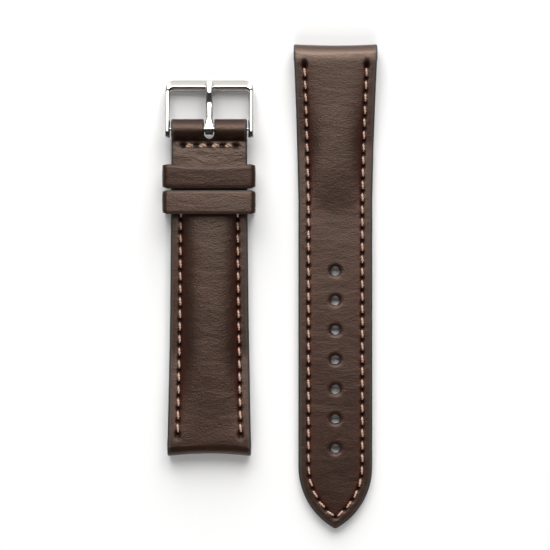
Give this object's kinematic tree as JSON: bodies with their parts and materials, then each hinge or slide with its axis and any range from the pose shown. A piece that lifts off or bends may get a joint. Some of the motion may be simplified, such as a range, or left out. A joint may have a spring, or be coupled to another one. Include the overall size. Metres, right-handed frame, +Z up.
{
  "type": "watch strap",
  "caption": "Two-part padded leather watch strap with pin buckle, sprung bar, fixed and sliding keepers, stitched seams and punched adjustment holes.",
  "frame": {"origin": "under the middle of both strap halves together, on the table they lie on", "axes": "+X across the straps to the long half, +Y along them to the buckle, +Z up out of the table"},
  "size_m": [0.0512, 0.116, 0.0087],
  "materials": {
    "leather_upper": "smooth dark brown calf, waxed",
    "leather_padding": "split leather filler",
    "leather_lining": "matte lining leather",
    "leather_keeper": "smooth dark brown calf",
    "thread": "waxed twisted thread",
    "steel_bar": "turned",
    "steel_buckle": "polished, satin front face"
  },
  "bodies": {
    "strap": {"long_upper": "leather_upper", "long_padding": "leather_padding", "long_lining": "leather_lining", "long_lug_liner": "leather_lining", "long_seam": "thread", "short_upper": "leather_upper", "short_padding": "leather_padding", "short_lining": "leather_lining", "short_lug_liner": "leather_lining", "short_fold_liner": "leather_lining", "short_seam_left": "thread", "short_seam_right": "thread", "short_cross_seam": "thread", "fixed_keeper": "leather_keeper", "spring_bar_tube": "steel_bar", "spring_bar_spring": "steel_bar"},
    "sliding_keeper": {"free_keeper": "leather_keeper", "free_keeper_stitch": "thread"},
    "frame": {"buckle_frame": "steel_buckle"},
    "tongue": {"buckle_tongue": "steel_buckle"},
    "pin_left": {"spring_bar_plunger_left": "steel_bar"},
    "pin_right": {"spring_bar_plunger_right": "steel_bar"}
  },
  "joints": [
    {"name": "keeper_slide", "type": "slide", "parent": "strap", "child": "sliding_keeper", "axis": [0, -0.9997, -0.0234], "range_m": [0, 0.04]},
    {"name": "frame_hinge", "type": "hinge", "parent": "strap", "child": "frame", "pos_m": [-0.01457, 0.03763, 0.00413], "axis": [1, 0, 0], "range_deg": [0, 55]},
    {"name": "tongue_hinge", "type": "hinge", "parent": "frame", "child": "tongue", "pos_m": [-0.01457, 0.03763, 0.00413], "axis": [1, 0, 0], "range_deg": [0, 60]},
    {"name": "pin_left_slide", "type": "slide", "parent": "strap", "child": "pin_left", "axis": [1, 0, 0], "range_m": [0, 0.0012], "stiffness_N_per_m": 400, "springref_m": -0.002, "deforming": ["spring_bar_spring"]},
    {"name": "pin_right_slide", "type": "slide", "parent": "strap", "child": "pin_right", "axis": [-1, 0, 0], "range_m": [0, 0.0012], "stiffness_N_per_m": 400, "springref_m": -0.002, "deforming": ["spring_bar_spring"]}
  ]
}
